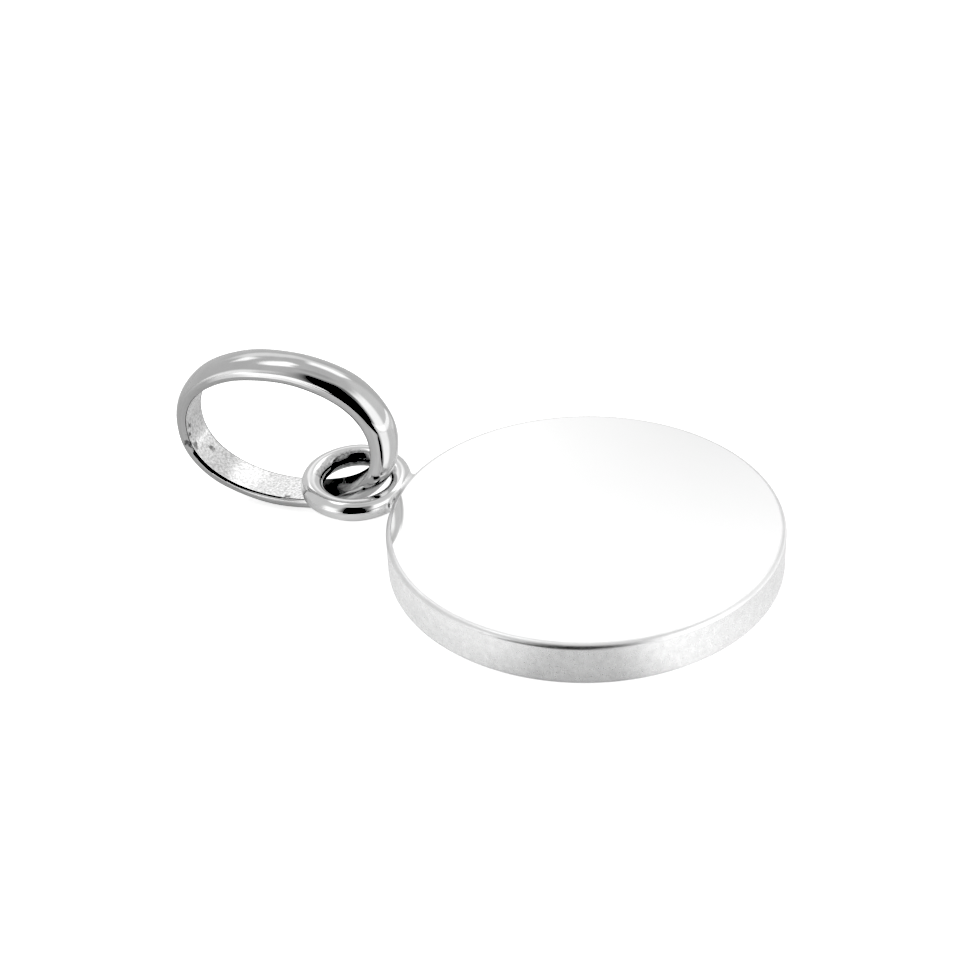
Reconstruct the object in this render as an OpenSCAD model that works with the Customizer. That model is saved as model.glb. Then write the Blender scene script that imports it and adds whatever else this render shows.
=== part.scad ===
// Disc pendant: a thick plain disc with a wire ring soldered to its edge, and an oval bail
// of half-round band that is threaded through the ring. All of it lies on a flat surface:
// the disc on its back face, the bail standing on its own lower side.
// Origin: the middle of the disc's back face. +Z up, +Y from the disc to the ring.

/* [Disc] */
// Diameter of the disc
disc_d = 18; // [15:0.5:24]
// Thickness of the disc
disc_t = 2.1; // [1.8:0.1:3]
// Radius of the rounding along the disc's two rims
rim_r = 0.25; // [0.1:0.05:0.5]

/* [Ring] */
// Outer diameter of the ring on the disc's edge
ring_d = 5.3; // [4.8:0.1:7]
// Diameter of the ring's wire
ring_wire = 1.1; // [0.9:0.05:1.3]
// Depth that the ring's wire is let into the disc's edge
ring_bite = 0.18; // [0.1:0.01:0.3]
// Lean of the ring towards -X, in degrees
ring_lean = 3.7; // [0:0.1:6]
// Rise of the ring's far side, in degrees
ring_tip = 1.4; // [0:0.1:4]

/* [Solder] */
// Length of the solder along the disc's edge
solder_l = 1.9; // [1.2:0.1:2.6]
// Height of the solder on the disc's edge
solder_h = 0.9; // [0.6:0.05:1.2]

/* [Bail] */
// Length of the bail's opening
bail_l = 9.17; // [7.5:0.01:12]
// Height of the bail's opening
bail_h = 6.33; // [5:0.01:9]
// Fullness of the opening's outline, where 2 is an ellipse
bail_full = 2.16; // [2:0.01:2.6]
// Turn of the bail about the ring's middle, in degrees
bail_turn = 5.4; // [0:0.1:10]

/* [Band] */
// Mean thickness of the bail's band
band_t = 0.91; // [0.8:0.01:1.2]
// Width of the bail's band
band_w = 1.98; // [1.4:0.02:2.1]
// Rounding of the band's two inner edges
band_edge = 0.3; // [0.1:0.05:0.35]
// Height of the band's straight sides, between the rounded edges and the dome
band_side = 0.07; // [0.02:0.01:0.3]
// Share of its thickness that the band gains and loses round the bail
swell = 0.24; // [0:0.01:0.4]
// Place of the thickest band, in degrees up from the end that is nearest to the disc
swell_at = 41; // [20:1:90]

/* [Clearance] */
// Gap between the ring's far wire and the band that passes below it
below_gap = 0.18; // [0.15:0.01:0.3]
// Gap between the band's outside and the ring's wire at the disc
pass_gap = 0.13; // [0.1:0.01:0.3]

/* [Hidden] */

// Facets of round shapes, sections round the bail, and steps over the band's dome and edges
round_fn = 96;
bail_steps = 90;
dome_steps = 14;
edge_steps = 4;

// Least share of the band's thickness that is dome
least_dome = 0.15;

// Rounds in which the heights and places of ring and bail settle
settle_rounds = 12;

silver = [0.84, 0.84, 0.85];
bail_silver = [0.76, 0.76, 0.78];

disc_r = disc_d / 2;
ring_r = (ring_d - ring_wire) / 2;
ring_y = disc_r + ring_d / 2 - ring_bite;
bail_rx = bail_l / 2;
bail_rz = bail_h / 2;

// Thickness of the band at angle a, from the bail's end at the disc
function thick(a) = band_t * (1 + swell * cos(a - swell_at));

// The opening's outline at angle a, as [to the disc, up]: a superellipse
function curve(share) = sign(share) * pow(abs(share), 2 / bail_full);
function outline(a) = [bail_rx * curve(cos(a)), bail_rz * curve(sin(a))];

// Outward normal of the outline at its point p
function slope(share) = sign(share) * pow(abs(share), bail_full - 1);
function normal(p) =
    let (g = [slope(p[0] / bail_rx) / bail_rx, slope(p[1] / bail_rz) / bail_rz])
    g / norm(g);

// Half the outline's height, as a share, at a share of half its length
function extent(share) = pow(1 - pow(abs(share), bail_full), 1 / bail_full);

// Section of the band as [across, outwards]: flat inside, rounded edges, domed outside
function section(t) =
    let (
        half = band_w / 2,
        side = min(band_edge + band_side, t * (1 - least_dome)),
        edge = [for (i = [0:edge_steps])
            let (q = 90 * i / edge_steps)
            band_edge * [sin(q) - 1, 1 - cos(q)]],
        dome = [for (i = [1:dome_steps - 1])
            let (q = 180 * i / dome_steps)
            [-half * cos(q), side + (t - side) * sin(q)]]
    )
    concat(
        [for (p = edge) [-half - p[0], p[1]]],
        [[-half, side]],
        dome,
        [[half, side]],
        [for (i = [edge_steps:-1:0]) [half + edge[i][0], edge[i][1]]]
    );

// The crown of the band in the bail's plane, from the bail's middle
bail_angles = [for (k = [0:bail_steps - 1]) 360 * k / bail_steps];
crown = [for (a = bail_angles) let (p = outline(a)) p + thick(a) * normal(p)];

// Height of the bail's middle, with the bail standing on its crown
bail_z = -min([for (p = crown) p[1]]);

// Place of the bail's middle beyond the ring's: the band clears the wire at the disc
function bail_out(z) =
    let (keep = ring_wire / 2 + pass_gap, wire_z = z - ring_r * sin(ring_tip))
    -ring_r + max([for (p = crown)
        let (dz = bail_z + p[1] - wire_z)
        if (abs(dz) < keep) p[0] + sqrt(keep * keep - dz * dz)]);

// Height of the ring's middle: its far wire clears the band below it
function ring_up(out) =
    bail_z - bail_rz * extent((out - ring_r) / bail_rx) + below_gap + ring_wire / 2;

function settled(z, rounds) = rounds <= 0 ? z : settled(ring_up(bail_out(z)), rounds - 1);
ring_z = settled(bail_z - bail_rz + below_gap + ring_wire / 2, settle_rounds);

module disc() {
    rotate_extrude($fn = round_fn) {
        square([disc_r - rim_r, disc_t]);
        translate([0, rim_r]) square([disc_r, disc_t - 2 * rim_r]);
        for (z = [rim_r, disc_t - rim_r])
            translate([disc_r - rim_r, z]) circle(r = rim_r, $fn = round_fn / 2);
    }
}

module ring() {
    translate([0, ring_y, ring_z])
        rotate([ring_tip, -ring_lean, 0])
            rotate_extrude($fn = round_fn)
                translate([ring_r, 0]) circle(d = ring_wire, $fn = round_fn / 2);
}

module solder() {
    translate([0, disc_r, ring_z - ring_r * sin(ring_tip)])
        rotate([0, 90 - ring_lean, 0])
            cylinder(h = solder_l, d = solder_h, center = true, $fn = round_fn / 2);
}

module disc_with_ring() {
    color(silver) {
        disc();
        ring();
        solder();
    }
}

// A section across the band at each angle, joined to the next one all round the bail
module band() {
    sections = [for (a = bail_angles)
        let (p = outline(a), n = normal(p))
        [for (s = section(thick(a))) [s[0], -p[0] - s[1] * n[0], p[1] + s[1] * n[1]]]
    ];
    count = len(sections[0]);
    faces = [for (k = [0:bail_steps - 1]) for (i = [0:count - 1])
        let (k2 = (k + 1) % bail_steps, i2 = (i + 1) % count)
        each [
            [k * count + i, k2 * count + i, k2 * count + i2],
            [k * count + i, k2 * count + i2, k * count + i2]
        ]];
    polyhedron([for (row = sections) each row], faces);
}

module bail() {
    color(bail_silver)
        translate([0, ring_y, 0])
            rotate([0, 0, bail_turn])
                translate([0, bail_out(ring_z), bail_z])
                    band();
}

disc_with_ring();
bail();
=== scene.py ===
"""Disc pendant of polished silver, lying on a pale surface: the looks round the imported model.

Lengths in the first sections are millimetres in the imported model's frame, and MM turns them
into Blender's metres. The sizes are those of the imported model.
"""
import math

import bmesh
import bpy
import numpy as np
from mathutils import Matrix, Vector


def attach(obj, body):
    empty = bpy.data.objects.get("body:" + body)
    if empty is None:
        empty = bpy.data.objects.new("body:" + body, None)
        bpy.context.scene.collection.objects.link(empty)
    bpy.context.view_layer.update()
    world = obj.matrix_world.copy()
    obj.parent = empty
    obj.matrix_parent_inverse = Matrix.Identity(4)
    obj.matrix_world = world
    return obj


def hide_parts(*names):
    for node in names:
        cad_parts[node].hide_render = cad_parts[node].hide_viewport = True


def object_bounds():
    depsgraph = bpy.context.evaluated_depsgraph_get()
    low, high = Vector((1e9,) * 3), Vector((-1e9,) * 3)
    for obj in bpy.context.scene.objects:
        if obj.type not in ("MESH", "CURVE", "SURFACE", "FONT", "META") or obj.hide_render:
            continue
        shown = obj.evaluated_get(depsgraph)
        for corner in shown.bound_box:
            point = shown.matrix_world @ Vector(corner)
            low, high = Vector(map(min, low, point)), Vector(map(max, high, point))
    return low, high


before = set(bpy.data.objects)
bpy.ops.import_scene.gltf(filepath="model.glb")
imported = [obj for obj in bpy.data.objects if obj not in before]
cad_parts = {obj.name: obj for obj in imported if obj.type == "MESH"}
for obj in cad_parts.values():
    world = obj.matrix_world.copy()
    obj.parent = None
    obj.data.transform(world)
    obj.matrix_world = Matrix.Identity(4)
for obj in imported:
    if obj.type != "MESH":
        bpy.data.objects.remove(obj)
cad_low, cad_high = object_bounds()

MM = 0.001

# Disc, ring and solder
DISC_T = 2.1
RIM_R = 0.25
RING_D = 5.3
RING_WIRE = 1.1
RING_BITE = 0.18
RING_LEAN = math.radians(3.7)
RING_TIP = math.radians(1.4)
SOLDER_R = 0.22

# Bail: its opening, its turn about the ring, and its band
BAIL_L = 9.17
BAIL_H = 6.33
BAIL_FULL = 2.16
BAIL_TURN = math.radians(5.4)
BAND_T = 0.91
BAND_W = 1.98
BAND_EDGE = 0.3
BAND_SIDE = 0.07
LEAST_DOME = 0.15
SWELL = 0.24
SWELL_AT = math.radians(41)

# Clearances between band and ring
BELOW_GAP = 0.18
PASS_GAP = 0.13

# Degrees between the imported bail's sections, and rounds in which ring and bail settle
PACKED_STEP = 4
SETTLE_ROUNDS = 12

# The unevenness of ring and bail: the length of its waves and their depth
RING_WAVES = 2.2, 0.03
BAIL_WAVES = 2.6, 0.04

# The least length that is divided by
TINY = 1e-12

# Camera: its direction from the object, distance, lens, roll, and where the photo shows the
# middle of the disc's back face, in pixels of the 980 by 980 frame
CAM_AZIMUTH = math.radians(-65.9)
CAM_ELEVATION = math.radians(34.19)
CAM_ROLL = math.radians(-2.62)
CAM_DISTANCE = 90
LENS_MM = 72.5
SENSOR_MM = 36
FRAME_PX = 980
MIDDLE_PX = (585.7, 558.1)

# Where the camera's view starts and ends, in metres
CLIP_M = 0.005, 20


def clean(array):
    return [tuple(float(v) for v in row) for row in array]


def mesh_object(name, points, faces):
    """A smooth mesh from points in millimetres."""
    mesh = bpy.data.meshes.new(name)
    mesh.from_pydata(clean(np.asarray(points) * MM), [], faces)
    mesh.validate()
    obj = bpy.data.objects.new(name, mesh)
    bpy.context.scene.collection.objects.link(obj)
    for polygon in mesh.polygons:
        polygon.use_smooth = True
    return obj


# Camera, first in the making

def make_camera():
    az, el, roll = CAM_AZIMUTH, CAM_ELEVATION, CAM_ROLL
    back = Vector((math.sin(az) * math.cos(el), -math.cos(az) * math.cos(el), math.sin(el)))
    level = Vector((math.cos(az), math.sin(az), 0))
    upright = back.cross(level)
    right = math.cos(roll) * level + math.sin(roll) * upright
    up = -math.sin(roll) * level + math.cos(roll) * upright
    px_per_unit = LENS_MM / SENSOR_MM * FRAME_PX
    aside = (MIDDLE_PX[0] - FRAME_PX / 2) / px_per_unit * CAM_DISTANCE
    above = (FRAME_PX / 2 - MIDDLE_PX[1]) / px_per_unit * CAM_DISTANCE
    data = bpy.data.cameras.new("camera")
    data.lens = LENS_MM
    data.sensor_width = SENSOR_MM
    data.clip_start, data.clip_end = CLIP_M
    camera = bpy.data.objects.new("camera", data)
    bpy.context.scene.collection.objects.link(camera)
    place = (back * CAM_DISTANCE - right * aside - up * above) * MM
    turn = Matrix((right, up, back)).transposed().to_4x4()
    camera.matrix_world = Matrix.Translation(place) @ turn
    bpy.context.scene.camera = camera
    return camera


make_camera()


# Sizes that follow

disc_r = round(cad_high.x / MM, 3)
ring_r = (RING_D - RING_WIRE) / 2
wire_r = RING_WIRE / 2
ring_y = disc_r + RING_D / 2 - RING_BITE
bail_rx, bail_rz = BAIL_L / 2, BAIL_H / 2


def thick(a):
    return BAND_T * (1 + SWELL * np.cos(a - SWELL_AT))


def outline(a):
    """The bail's opening at angle a, as [to the disc, up]: a superellipse."""
    power = 2 / BAIL_FULL
    c, s = np.cos(a), np.sin(a)
    return np.stack([bail_rx * np.sign(c) * np.abs(c) ** power,
                     bail_rz * np.sign(s) * np.abs(s) ** power], -1)


def outward(p):
    share = p / [bail_rx, bail_rz]
    g = np.sign(share) * np.abs(share) ** (BAIL_FULL - 1) / [bail_rx, bail_rz]
    return g / np.linalg.norm(g, axis=-1, keepdims=True)


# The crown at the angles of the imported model, on which the bail's and ring's heights rest
crown_a = np.radians(np.arange(0, 360, PACKED_STEP))
crown_p = outline(crown_a)
crown = crown_p + thick(crown_a)[:, None] * outward(crown_p)
bail_z = -crown[:, 1].min()


def extent(share):
    return (1 - abs(share) ** BAIL_FULL) ** (1 / BAIL_FULL)


def bail_out(z):
    keep = wire_r + PASS_GAP
    dz = bail_z + crown[:, 1] - (z - ring_r * math.sin(RING_TIP))
    near = np.abs(dz) < keep
    return -ring_r + (crown[near, 0] + np.sqrt(keep ** 2 - dz[near] ** 2)).max()


ring_z = bail_z - bail_rz + BELOW_GAP + wire_r
for _ in range(SETTLE_ROUNDS):
    seat = extent((bail_out(ring_z) - ring_r) / bail_rx)
    ring_z = bail_z - bail_rz * seat + BELOW_GAP + wire_r
bail_y = bail_out(ring_z)

ring_turn = np.array(Matrix.Rotation(-RING_LEAN, 3, "Y") @ Matrix.Rotation(RING_TIP, 3, "X"))
ring_mid = np.array([0, ring_y, ring_z])


# Distances from the disc's and the ring's true surfaces, with their outward directions

def disc_distance(p):
    r = np.hypot(p[:, 0], p[:, 1])
    half = DISC_T / 2
    up = np.sign(p[:, 2] - half)
    a = r - (disc_r - RIM_R)
    b = np.abs(p[:, 2] - half) - (half - RIM_R)
    corner = np.hypot(a, b)
    both = (a > 0) & (b > 0)
    side = a >= b
    d = np.where(both, corner, np.where(side, a, b)) - RIM_R
    ga = np.where(both, a / np.maximum(corner, TINY), side)
    gb = np.where(both, b / np.maximum(corner, TINY), ~side)
    radial = p[:, :2] / np.maximum(r, TINY)[:, None]
    return d, np.column_stack([radial * ga[:, None], gb * up])


def ring_distance(p):
    q = (p - ring_mid) @ ring_turn
    rr = np.hypot(q[:, 0], q[:, 1])
    t = rr - ring_r
    length = np.maximum(np.hypot(t, q[:, 2]), TINY)
    radial = q[:, :2] / np.maximum(rr, TINY)[:, None]
    g = np.column_stack([radial * (t / length)[:, None], q[:, 2] / length])
    return length - wire_r, g @ ring_turn.T


def solder_path(steps=180):
    """Middles of a ball that rolls round the joint and touches both disc and ring.

    They are found from a round path by damped Newton steps.
    """
    phi = np.linspace(0, 2 * np.pi, steps, endpoint=False)
    low_z = ring_z - ring_r * math.sin(RING_TIP)

    def at(x):
        return np.column_stack([x[:, 0] * np.cos(phi), x[:, 1], low_z + x[:, 0] * np.sin(phi)])

    def miss(x):
        p = at(x)
        return np.column_stack([disc_distance(p)[0], ring_distance(p)[0]]) - SOLDER_R

    start, step, damping, rounds = 0.9, 1e-6, 0.7, 60
    x = np.column_stack([np.full(steps, start), np.full(steps, disc_r + SOLDER_R)])
    for _ in range(rounds):
        f = miss(x)
        js = (miss(x + [step, 0]) - f) / step
        jy = (miss(x + [0, step]) - f) / step
        det = js[:, 0] * jy[:, 1] - js[:, 1] * jy[:, 0]
        ds = (f[:, 0] * jy[:, 1] - f[:, 1] * jy[:, 0]) / det
        dy = (js[:, 0] * f[:, 1] - js[:, 1] * f[:, 0]) / det
        x -= damping * np.column_stack([ds, dy])
    return at(x), np.abs(miss(x)).max()


# The slow unevenness of hand-finished metal

def uneven(points, normals, length, depth, waves=9):
    """Sinks points by crossing waves of the given length and depth, and tilts their normals.

    The waves run in all directions, and are 0.8 to 1.4 times as long as the given length.
    """
    k = np.arange(waves)
    turn, rise = 2.4 * k, 1 - (2 * k + 1) / waves
    level = np.sqrt(1 - rise ** 2)
    way = np.column_stack([level * np.cos(turn), level * np.sin(turn), rise])
    way *= (2 * np.pi / length * (0.7 + 0.6 * k / waves))[:, None]
    phase = points @ way.T + k ** 2
    sink = depth * (np.sin(phase).mean(1) - 1)
    slope = depth * np.cos(phase) @ way / waves
    slope -= normals * (slope * normals).sum(1, keepdims=True)
    tilted = normals - slope
    return (points + sink[:, None] * normals,
            tilted / np.linalg.norm(tilted, axis=1, keepdims=True))


# Disc, ring and solder, fused into one piece

def disc_mesh(around=512, rim_steps=10):
    low = [(disc_r - RIM_R + RIM_R * math.sin(q), RIM_R - RIM_R * math.cos(q))
           for q in np.linspace(0, math.pi / 2, rim_steps + 1)]
    profile = low + [(r, DISC_T - z) for r, z in reversed(low)]
    a = np.linspace(0, 2 * np.pi, around, endpoint=False)
    points = np.concatenate([np.column_stack([r * np.cos(a), r * np.sin(a), np.full(around, z)])
                             for r, z in profile])
    faces = [(k * around + i, k * around + (i + 1) % around,
              (k + 1) * around + (i + 1) % around, (k + 1) * around + i)
             for k in range(len(profile) - 1) for i in range(around)]
    faces.append(tuple(range(around))[::-1])
    top = (len(profile) - 1) * around
    faces.append(tuple(range(top, top + around)))
    return mesh_object("disc", points, faces)


def tube_faces(rows, count):
    """Quads over a closed grid of rows, each of count points."""
    return [(k * count + i, ((k + 1) % rows) * count + i,
             ((k + 1) % rows) * count + (i + 1) % count, k * count + (i + 1) % count)
            for k in range(rows) for i in range(count)]


def ring_mesh(around=288, sides=72):
    a = np.linspace(0, 2 * np.pi, around, endpoint=False)[:, None]
    q = np.linspace(0, 2 * np.pi, sides, endpoint=False)[None, :]
    r = ring_r + wire_r * np.cos(q)
    z = np.broadcast_to(wire_r * np.sin(q), (around, sides))
    local = np.stack([r * np.cos(a), r * np.sin(a), z], -1).reshape(-1, 3)
    return mesh_object("ring", local @ ring_turn.T + ring_mid, tube_faces(around, sides))


def solder_mesh(middles, steps=10, depth=0.1):
    """The solder's hollow rim between disc and ring, closed inside both of them."""
    on_disc = disc_distance(middles)[1]
    on_ring = ring_distance(middles)[1]
    rows = [middles - on_disc * (SOLDER_R + depth)]
    angle = np.arccos(np.clip((on_disc * on_ring).sum(1), -1, 1))[:, None]
    for t in np.linspace(0, 1, steps + 1):
        way = (np.sin((1 - t) * angle) * on_disc + np.sin(t * angle) * on_ring) / np.sin(angle)
        rows.append(middles - way * SOLDER_R)
    rows.append(middles - on_ring * (SOLDER_R + depth))
    count = len(middles)
    ends = np.array([[0, disc_r - 2 * depth, rows[0][:, 2].mean()],
                     [0, ring_y - ring_r, ring_z - ring_r * math.sin(RING_TIP)]])
    faces = [(k * count + i, k * count + (i + 1) % count,
              (k + 1) * count + (i + 1) % count, (k + 1) * count + i)
             for k in range(len(rows) - 1) for i in range(count)]
    first, last = len(rows) * count, (len(rows) - 1) * count
    for i in range(count):
        j = (i + 1) % count
        faces.append((first, j, i))
        faces.append((first + 1, last + i, last + j))
    return mesh_object("solder", np.concatenate(rows + [ends]), faces)


def outward_faces(obj):
    """Turns every face of a closed mesh outward."""
    bm = bmesh.new()
    bm.from_mesh(obj.data)
    bmesh.ops.recalc_face_normals(bm, faces=bm.faces)
    bm.to_mesh(obj.data)
    bm.free()


def fuse(base, others):
    for other in others:
        modifier = base.modifiers.new(other.name, "BOOLEAN")
        modifier.operation = "UNION"
        modifier.solver = "MANIFOLD"
        modifier.object = other
    graph = bpy.context.evaluated_depsgraph_get()
    mesh = bpy.data.meshes.new_from_object(base.evaluated_get(graph))
    base.modifiers.clear()
    base.data = mesh
    for other in others:
        bpy.data.objects.remove(other)


def set_normals(obj, normals):
    for polygon in obj.data.polygons:
        polygon.use_smooth = True
    obj.data.normals_split_custom_set_from_vertices(clean(normals))


def make_disc_with_ring():
    middles, miss = solder_path()
    print("solder ball misses by", miss, "mm")
    disc, ring, solder = disc_mesh(), ring_mesh(), solder_mesh(middles)
    for part in (disc, ring, solder):
        outward_faces(part)
    fuse(disc, [ring, solder])
    p = np.array([v.co for v in disc.data.vertices]) / MM
    d_disc, n_disc = disc_distance(p)
    d_ring, n_ring = ring_distance(p)
    nearest = np.array([np.argmin(((middles - q) ** 2).sum(1)) for q in p])
    n_solder = middles[nearest] - p
    n_solder /= np.linalg.norm(n_solder, axis=1)[:, None]
    close = 0.002
    on_disc, on_ring = np.abs(d_disc) < close, np.abs(d_ring) < close
    normals = np.where(on_disc[:, None], n_disc, np.where(on_ring[:, None], n_ring, n_solder))
    loose = ~on_disc
    p[loose], normals[loose] = uneven(p[loose], normals[loose], *RING_WAVES)
    for vertex, place in zip(disc.data.vertices, clean(p * MM)):
        vertex.co = place
    set_normals(disc, normals)
    return disc, on_disc, on_ring, n_disc


# Bail

# The inner corners are worn to a steep bevel: how far it reaches across the band and up its
# side, and its power, where 1 is a flat bevel and 2 a rounding
CORNER_ACROSS = 0.1
CORNER_UP = 0.26
CORNER_POWER = 1.25

# Steps across the band's inside and over each inner corner
FLAT_STEPS = 6
CORNER_STEPS = 12

# The bail's material slots
OUTSIDE, INSIDE, DARK = range(3)

# Where the front corner is painted dark, a painted dark reflection: degrees round the bail from its
# end at the disc, and how many of the corner's steps are dark there
DARK_EDGE = [
    (197, 0),
    (202, 9),
    (222, 8),
    (245, 6),
    (268, 5),
    (274, 0),
]


def worn_corner(q):
    """Place and normal on a corner, from the inside face at 0 to the side at a right angle."""
    c, s = max(math.cos(q), 0), math.sin(q)
    x, y = s ** (2 / CORNER_POWER), c ** (2 / CORNER_POWER)
    nx, ny = x ** (CORNER_POWER - 1) / CORNER_ACROSS, y ** (CORNER_POWER - 1) / CORNER_UP
    size = math.hypot(nx, ny)
    across = BAND_W / 2 - CORNER_ACROSS * (1 - x)
    return (across, CORNER_UP * (1 - y)), (nx / size, ny / size)


def band_section(a, dome=36, straight=3):
    """The band's section at angles a, as [across, outwards] with its outward normals."""
    t = thick(a)
    half = BAND_W / 2
    side = np.minimum(BAND_EDGE + BAND_SIDE, t * (1 - LEAST_DOME))
    one, zero = np.ones_like(a), np.zeros_like(a)
    points, normals = [], []
    for share in np.linspace(1, -1, FLAT_STEPS + 1):
        points.append((share * (half - CORNER_ACROSS) * one, zero))
        normals.append((zero, -one))
    for q in np.linspace(0, np.pi / 2, CORNER_STEPS + 1)[1:]:
        (x, y), (nx, ny) = worn_corner(q)
        points.append((-x * one, y * one))
        normals.append((-nx * one, -ny * one))
    for k in range(1, straight):
        points.append((-half * one, CORNER_UP + (side - CORNER_UP) * k / straight))
        normals.append((-one, zero))
    for q in np.linspace(0, np.pi, dome + 1):
        points.append((-half * math.cos(q) * one, side + (t - side) * math.sin(q)))
        n = np.stack([-(t - side) * math.cos(q), half * math.sin(q) * one])
        normals.append(n / np.linalg.norm(n, axis=0))
    for k in range(straight - 1, 0, -1):
        points.append((half * one, CORNER_UP + (side - CORNER_UP) * k / straight))
        normals.append((one, zero))
    for q in np.linspace(np.pi / 2, 0, CORNER_STEPS + 1)[:-1]:
        (x, y), (nx, ny) = worn_corner(q)
        points.append((x * one, y * one))
        normals.append((nx * one, -ny * one))
    return np.array(points).transpose(2, 0, 1), np.array(normals).transpose(2, 0, 1)


def make_bail(around=480):
    a = np.linspace(0, 2 * np.pi, around, endpoint=False)
    section, slope = band_section(a)
    p = outline(a)
    n = outward(p)
    count = section.shape[1]
    x = section[..., 0]
    y = -(p[:, None, 0] + section[..., 1] * n[:, None, 0])
    z = p[:, None, 1] + section[..., 1] * n[:, None, 1]
    grid = np.stack([x, y, z], -1)
    along = np.roll(grid, -1, 0) - np.roll(grid, 1, 0)
    normal = np.stack([slope[..., 0], -slope[..., 1] * n[:, None, 0],
                       slope[..., 1] * n[:, None, 1]], -1)
    along /= np.linalg.norm(along, axis=-1, keepdims=True)
    normal -= along * (normal * along).sum(-1, keepdims=True)
    normal /= np.linalg.norm(normal, axis=-1, keepdims=True)
    turn = np.array(Matrix.Rotation(BAIL_TURN, 3, "Z"))
    points = (grid.reshape(-1, 3) + [0, bail_y, bail_z]) @ turn.T + [0, ring_y, 0]
    points, normal = uneven(points, normal.reshape(-1, 3) @ turn.T, *BAIL_WAVES)
    bail = mesh_object("bail_band", points, tube_faces(around, count))
    dark_steps = np.interp(np.degrees(a), *zip(*DARK_EDGE))
    for polygon in bail.data.polygons:
        row, place = divmod(polygon.index, count)
        if place < FLAT_STEPS:
            polygon.material_index = INSIDE
        elif place - FLAT_STEPS < int(dark_steps[row]):
            polygon.material_index = DARK
        else:
            polygon.material_index = OUTSIDE
    outward_faces(bail)
    set_normals(bail, normal)
    return bail


# Materials

def new_material(name):
    material = bpy.data.materials.new(name)
    material.use_nodes = True
    tree = material.node_tree
    tree.nodes.clear()
    out = tree.nodes.new("ShaderNodeOutputMaterial")
    shader = tree.nodes.new("ShaderNodeBsdfPrincipled")
    tree.links.new(shader.outputs[0], out.inputs[0])
    return material, tree, shader


# Dark marks, painted shade and tarnished spots: the painted shade's tone (also that of the painted
# dark reflection on the bail's corner) and the spots' tone, how uneven their edge is and how fine,
# and where they are full and gone: painted shade on the ring's far side round the ring's middle and
# at two places on the bail's inside below the ring, and tarnished small spots
PAINTED_DARK_TONE = 0.12
SPOT_TONE = 0.35
TARNISH_AND_SHADE_EDGE = 0.3
TARNISH_AND_SHADE_GRAIN = 7
HOLLOW_FADE = 1.45, 2.0
BELOW_RING = (0.5, 13.2, 0.35)
BELOW_FADE = 1.0, 1.4
BESIDE_RING = (0.8, 11.7, 1.6)
BESIDE_FADE = 0.75, 0.95
SPOTS = [
    # x, y, z, radius
    (-1.25, 19.48, 3.85, 0.16),
    (-1.45, 19.43, 3.45, 0.17),
    (-1.62, 19.45, 3.10, 0.22),
    (-1.35, 19.25, 2.85, 0.25),
    (-0.47, 18.95, 2.23, 0.20),
    (-1.06, 14.70, 0.70, 0.18),
]


# The range of a noise's values that is stretched: for the tone, the gloss and the tarnish's edge
TONE_RANGE = 0.35, 0.65
GLOSS_RANGE = 0.3, 0.7
EDGE_RANGE = 0.2, 0.8


def silver(name, tone, patches, rough, rough_spread, wave, grain, tarnish_and_shade=()):
    """Silver with patches in its tone, an uneven gloss, and darkening round the given points.

    wave and grain are each a scale per millimetre and a depth in millimetres, and the last argument
    lists for each darkening a tone, a middle, and the distances at which it is full and gone: tarnished
    spots, or painted shade in hollows and under the ring.
    """
    material, tree, shader = new_material(name)
    node, link = tree.nodes.new, tree.links.new
    shader.inputs["Metallic"].default_value = 1
    coords = node("ShaderNodeTexCoord")

    def noise(scale, detail):
        n = node("ShaderNodeTexNoise")
        n.inputs["Scale"].default_value = scale / MM
        n.inputs["Detail"].default_value = detail
        link(coords.outputs["Object"], n.inputs["Vector"])
        return n.outputs["Fac"]

    def spread(source, start, end, low, high):
        m = node("ShaderNodeMapRange")
        for socket, value in zip(("From Min", "From Max", "To Min", "To Max"), (start, end, low, high)):
            m.inputs[socket].default_value = value
        link(source, m.inputs["Value"])
        return m.outputs["Result"]

    def total(operation, *values):
        m = node("ShaderNodeMath")
        m.operation = operation
        for socket, value in zip(m.inputs, values):
            link(value, socket)
        return m.outputs[0]

    tint = spread(noise(wave[0] * 2, 3), *TONE_RANGE, tone * (1 - patches), tone)
    half = TARNISH_AND_SHADE_EDGE / 2 * MM
    edge = spread(noise(TARNISH_AND_SHADE_GRAIN, 2), *EDGE_RANGE, -half, half)
    for dark, middle, full, gone in tarnish_and_shade:
        away = node("ShaderNodeVectorMath")
        away.operation = "DISTANCE"
        away.inputs[1].default_value = tuple(float(v) * MM for v in middle)
        link(coords.outputs["Object"], away.inputs[0])
        reach = total("ADD", away.outputs["Value"], edge)
        tint = total("MULTIPLY", tint, spread(reach, full * MM, gone * MM, dark, 1))
    link(tint, shader.inputs["Base Color"])
    fine_noise = noise(grain[0], 4)
    gloss = spread(fine_noise, *GLOSS_RANGE, rough, rough + rough_spread)
    link(gloss, shader.inputs["Roughness"])
    slow = node("ShaderNodeBump")
    slow.inputs["Distance"].default_value = wave[1] * MM
    link(noise(wave[0], 1), slow.inputs["Height"])
    fine = node("ShaderNodeBump")
    fine.inputs["Distance"].default_value = grain[1] * MM
    link(fine_noise, fine.inputs["Height"])
    link(slow.outputs["Normal"], fine.inputs["Normal"])
    link(fine.outputs["Normal"], shader.inputs["Normal"])
    return material


# Painted shade: the ring's inside round its middle is painted dark, for the shade in the hole between
# ring and bail
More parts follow.
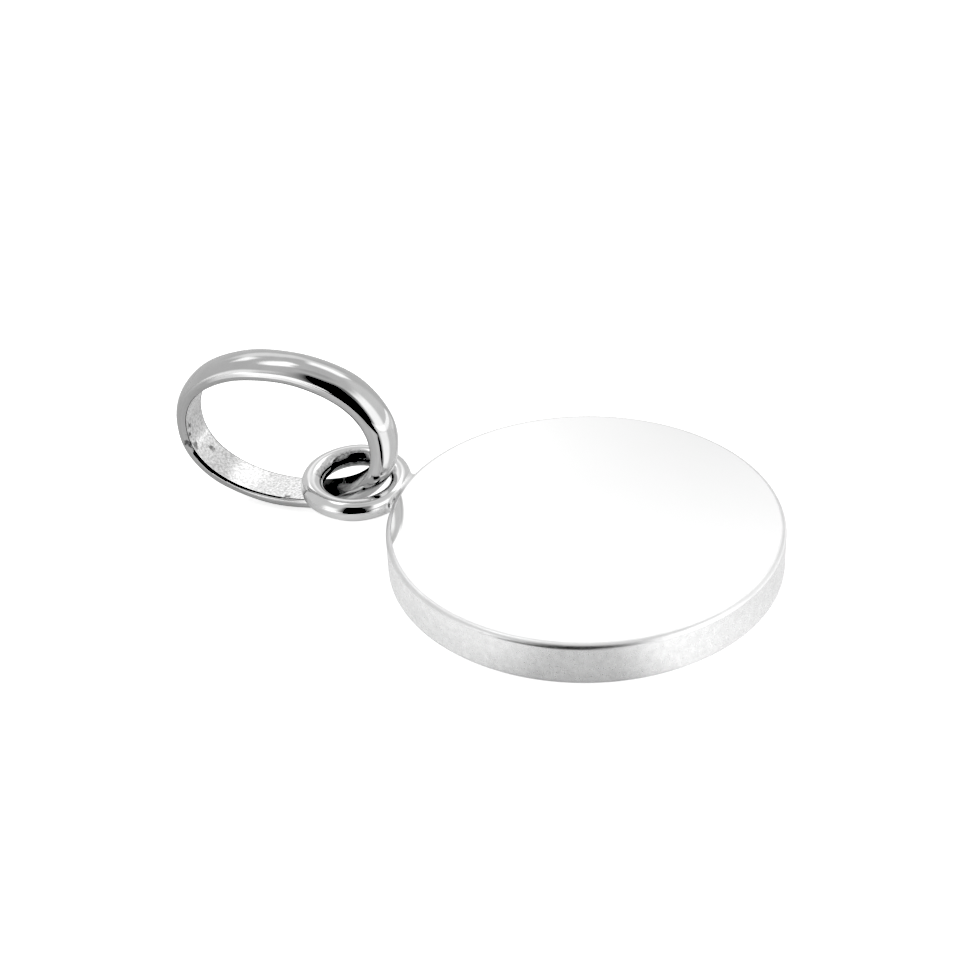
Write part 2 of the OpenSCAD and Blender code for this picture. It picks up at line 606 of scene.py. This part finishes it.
hollow = [(PAINTED_DARK_TONE, ring_mid, *HOLLOW_FADE)]
# Painted shade: the bail's inside below the ring is painted dark at two places, for the shade under the
# ring
below = [(PAINTED_DARK_TONE, BELOW_RING, *BELOW_FADE), (PAINTED_DARK_TONE, BESIDE_RING, *BESIDE_FADE)]
spots = [(SPOT_TONE, (x, y, z), radius / 2, radius) for x, y, z, radius in SPOTS]
face_silver = silver("mirror_face", 0.98, 0.01, 0.03, 0.02, (0.1, 0.0005), (8, 0.0001))
edge_silver = silver("rubbed_edge", 0.98, 0.08, 0.2, 0.1, (1.5, 0.002), (9, 0.001))
rim_silver = silver("worn_rim", 0.95, 0.05, 0.3, 0.08, (0.6, 0.002), (9, 0.0005))
ring_silver = silver("polished_wire", 0.8, 0.04, 0.05, 0.05, (0.8, 0.005), (10, 0.0003))
# The ring's far side, with the painted shade round the ring's middle
far_silver = silver("painted_shade_wire", 0.8, 0.04, 0.05, 0.05, (0.8, 0.005), (10, 0.0003), hollow)
bail_silver = silver("polished_band", 0.65, 0.06, 0.06, 0.06, (0.5, 0.01), (9, 0.0005), spots)
# The bail's satin inside, with painted shade below the ring and tarnished spots
inner_silver = silver("satin_inside", 0.95, 0.33, 0.14, 0.12, (4, 0.003), (9, 0.0007), below + spots)
# A painted dark reflection along the bail's front inner corner
dark_edge = silver("painted_reflection_edge", PAINTED_DARK_TONE, 0.5, 0.08, 0.1, (2, 0.003), (9, 0.0007))


# Pieces

# The disc's material slots, and the upward share of a normal that the wall has at the most, and
# a flat face at the least
FACE, EDGE, RIM, NEAR_WIRE, FAR_WIRE = range(5)
WALL_RISE = 0.01
FACE_RISE = 0.999

disc, on_disc, on_ring, n_disc = make_disc_with_ring()
disc.data.materials.clear()
ahead = np.array([math.sin(CAM_AZIMUTH), -math.cos(CAM_AZIMUTH), 0])
aside = np.array([math.cos(CAM_AZIMUTH), math.sin(CAM_AZIMUTH), 0])
for material in (face_silver, edge_silver, rim_silver, ring_silver, far_silver):
    disc.data.materials.append(material)
for polygon in disc.data.polygons:
    corners = list(polygon.vertices)
    up = np.abs(n_disc[corners, 2])
    if not (on_disc | on_ring)[corners].all():
        polygon.material_index = RIM
    # Ring faces on the side away from the camera take the wire with the painted shade
    elif not on_disc[corners].all():
        near = (np.array(polygon.center) / MM - ring_mid) @ ahead > 0
        polygon.material_index = NEAR_WIRE if near else FAR_WIRE
    elif up.max() < WALL_RISE:
        polygon.material_index = EDGE
    elif up.min() < FACE_RISE:
        polygon.material_index = RIM
    else:
        polygon.material_index = FACE
disc.name = "disc_and_ring"
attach(disc, "root")
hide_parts("disc_with_ring")

bail = make_bail()
for material in (bail_silver, inner_silver, dark_edge):
    bail.data.materials.append(material)
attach(bail, "root")
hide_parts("bail")


# Floor and light

# The sheet: its size in metres, its tone and roughness, and how much it shines, for the camera
# all over, and for the metal by the place aside. The second shine ends at a slanting line: how
# far that is turned from the camera's bearing, and where the shine starts and is full
FLOOR_SIZE_M = 1.5
FLOOR_TONE = 0.8
FLOOR_ROUGH = 0.15
FLOOR_GLOW = 0.57
LIT_WAY = math.radians(40)
LIT_FADE = -15, -11.5
SHEET_HALF = 30
# The shine for the metal is painted light on the sheet, and its low strip round the middle is a painted
# shadow of the camera
SHEET_LIGHT = [
    # aside of the disc's middle, light
    (-24, 0.75),
    (-20, 0.1),
    (-14, 0.1),
    (-12, 0.22),
    (-6, 0.22),
    (-3, 0.05),
    (1, 0.05),
    (4, 0.3),
    (7, 0.26),
    (10, 0.16),
    (22, 0.16),
    (28, 0.5),
]


def make_floor():
    """A pale sheet that the camera sees near white, as a photo's cleaned background is."""
    bpy.ops.mesh.primitive_plane_add(size=FLOOR_SIZE_M, location=(0, 0, 0))
    floor = bpy.context.object
    floor.name = "floor"
    material, tree, shader = new_material("pale_sheet")
    node, link = tree.nodes.new, tree.links.new
    shader.inputs["Base Color"].default_value = (FLOOR_TONE, FLOOR_TONE, FLOOR_TONE, 1)
    shader.inputs["Roughness"].default_value = FLOOR_ROUGH
    shader.inputs["Emission Color"].default_value = (1, 1, 1, 1)
    coords = node("ShaderNodeTexCoord")

    def along(way, start, end):
        m = node("ShaderNodeVectorMath")
        m.operation = "DOT_PRODUCT"
        m.inputs[1].default_value = way
        link(coords.outputs["Object"], m.inputs[0])
        r = node("ShaderNodeMapRange")
        r.inputs["From Min"].default_value = start * MM
        r.inputs["From Max"].default_value = end * MM
        link(m.outputs["Value"], r.inputs["Value"])
        return r.outputs["Result"]

    ramp = node("ShaderNodeValToRGB")
    link(along(aside, -SHEET_HALF, SHEET_HALF), ramp.inputs["Fac"])
    stops = ramp.color_ramp.elements
    while len(stops) < len(SHEET_LIGHT):
        stops.new(0.5)
    for stop, (place, light) in zip(stops, SHEET_LIGHT):
        stop.position = (place + SHEET_HALF) / (2 * SHEET_HALF)
        stop.color = (light, light, light, 1)
    front = node("ShaderNodeMath")
    front.operation = "MULTIPLY"
    link(ramp.outputs["Color"], front.inputs[0])
    lit_way = math.cos(LIT_WAY) * ahead + math.sin(LIT_WAY) * aside
    link(along(lit_way, *LIT_FADE), front.inputs[1])
    mix = node("ShaderNodeMix")
    link(node("ShaderNodeLightPath").outputs["Is Camera Ray"], mix.inputs["Factor"])
    link(front.outputs[0], mix.inputs["A"])
    mix.inputs["B"].default_value = FLOOR_GLOW
    link(mix.outputs["Result"], shader.inputs["Emission Strength"])
    floor.data.materials.append(material)


# A dark card before the pendant that only the metal sees: from the disc's middle, where it
# starts and where it bends up, its two ends aside, its height, its lift off the sheet, and its
# tone and roughness
CARD_NEAR = 14
CARD_AWAY = 30
CARD_ENDS = -29, 0
CARD_H = 8
CARD_LIFT = 0.05
CARD_TONE = 0.01
CARD_ROUGH = 0.9


def make_card():
    rows = [(CARD_NEAR, CARD_LIFT), (CARD_AWAY, CARD_LIFT), (CARD_AWAY, CARD_H)]
    points = [away * ahead + end * aside + [0, 0, z] for away, z in rows for end in CARD_ENDS]
    card = mesh_object("dark_card", points, [(0, 1, 3, 2), (2, 3, 5, 4)])
    material, tree, shader = new_material("dark_paper")
    shader.inputs["Base Color"].default_value = (CARD_TONE, CARD_TONE, CARD_TONE, 1)
    shader.inputs["Roughness"].default_value = CARD_ROUGH
    card.data.materials.append(material)
    card.visible_camera = False
    card.visible_diffuse = False
    card.visible_shadow = False


# The tent's light
STUDIO_GREY = 0.55

# What stands round the pendant, in degrees: the bearing from the camera of its middle, its half
# width and the softness of its sides, the same for its height, and its light
SCREENS = [
    # bearing, half, soft, height, half, soft, light
    (180, 32, 6, 33, 9, 5, 0.83),
    (160, 17, 6, 22, 11, 6, 0.54),
    (100, 30, 10, 22, 34, 8, 0.68),
    (153, 20, 5, 50, 8, 4, 1.2),
    (-141, 10, 5, 44, 6, 3, 1.2),
    (-118, 36, 8, 69, 6, 3, 1.3),
    (-54, 12, 6, 2, 26, 8, 0.97),
    (56, 24, 8, 18, 32, 8, 1.1),
    (0, 75, 20, 85, 12, 8, 0.45),
    (-5.2, 28.2, 10, 28, 30, 10, 0.01),
    (24, 9, 7, 46, 10, 6, 0.22),
]


def make_studio():
    """A grey tent with light screens and windows, and dark behind the camera."""
    world = bpy.data.worlds.new("studio")
    bpy.context.scene.world = world
    world.use_nodes = True
    tree = world.node_tree
    tree.nodes.clear()
    node, link = tree.nodes.new, tree.links.new

    def math_node(operation, *values):
        n = node("ShaderNodeMath")
        n.operation = operation
        for socket, value in zip(n.inputs, values):
            if isinstance(value, (int, float)):
                socket.default_value = value
            else:
                link(value, socket)
        return n.outputs[0]

    def toward(vector):
        n = node("ShaderNodeVectorMath")
        n.operation = "DOT_PRODUCT"
        link(coords.outputs["Generated"], n.inputs[0])
        n.inputs[1].default_value = vector
        return n.outputs["Value"]

    def within(value, half, soft):
        m = node("ShaderNodeMapRange")
        m.interpolation_type = "SMOOTHSTEP"
        m.inputs["From Min"].default_value = half + soft
        m.inputs["From Max"].default_value = half - soft
        link(math_node("ABSOLUTE", value), m.inputs["Value"])
        return m.outputs["Result"]

    coords = node("ShaderNodeTexCoord")
    turn = math_node("ARCTAN2", toward(aside), toward(ahead))
    bearing = math_node("MULTIPLY", turn, 180 / math.pi)
    height = math_node("MULTIPLY", math_node("ARCSINE", toward((0, 0, 1))), 180 / math.pi)
    light = STUDIO_GREY
    for middle, half_width, soft_side, up, half_height, soft_end, level in SCREENS:
        turned = math_node("WRAP", math_node("SUBTRACT", bearing, middle), 180, -180)
        mask = math_node("MULTIPLY", within(turned, half_width, soft_side),
                         within(math_node("SUBTRACT", height, up), half_height, soft_end))
        change = math_node("MULTIPLY", mask, math_node("SUBTRACT", level, light))
        light = math_node("ADD", light, change)
    background = node("ShaderNodeBackground")
    background.inputs["Color"].default_value = (1, 1, 1, 1)
    link(light, background.inputs["Strength"])
    out = node("ShaderNodeOutputWorld")
    link(background.outputs[0], out.inputs[0])


# The light that the view shows as black, and the one that it shows as white
BLACK_LEVEL = 0.06
WHITE_LEVEL = 0.75

make_floor()
make_card()
make_studio()
look = bpy.context.scene.view_settings
look.view_transform = "Standard"
look.use_curve_mapping = True
look.curve_mapping.black_level = (BLACK_LEVEL,) * 3
look.curve_mapping.white_level = (WHITE_LEVEL,) * 3
look.curve_mapping.update()
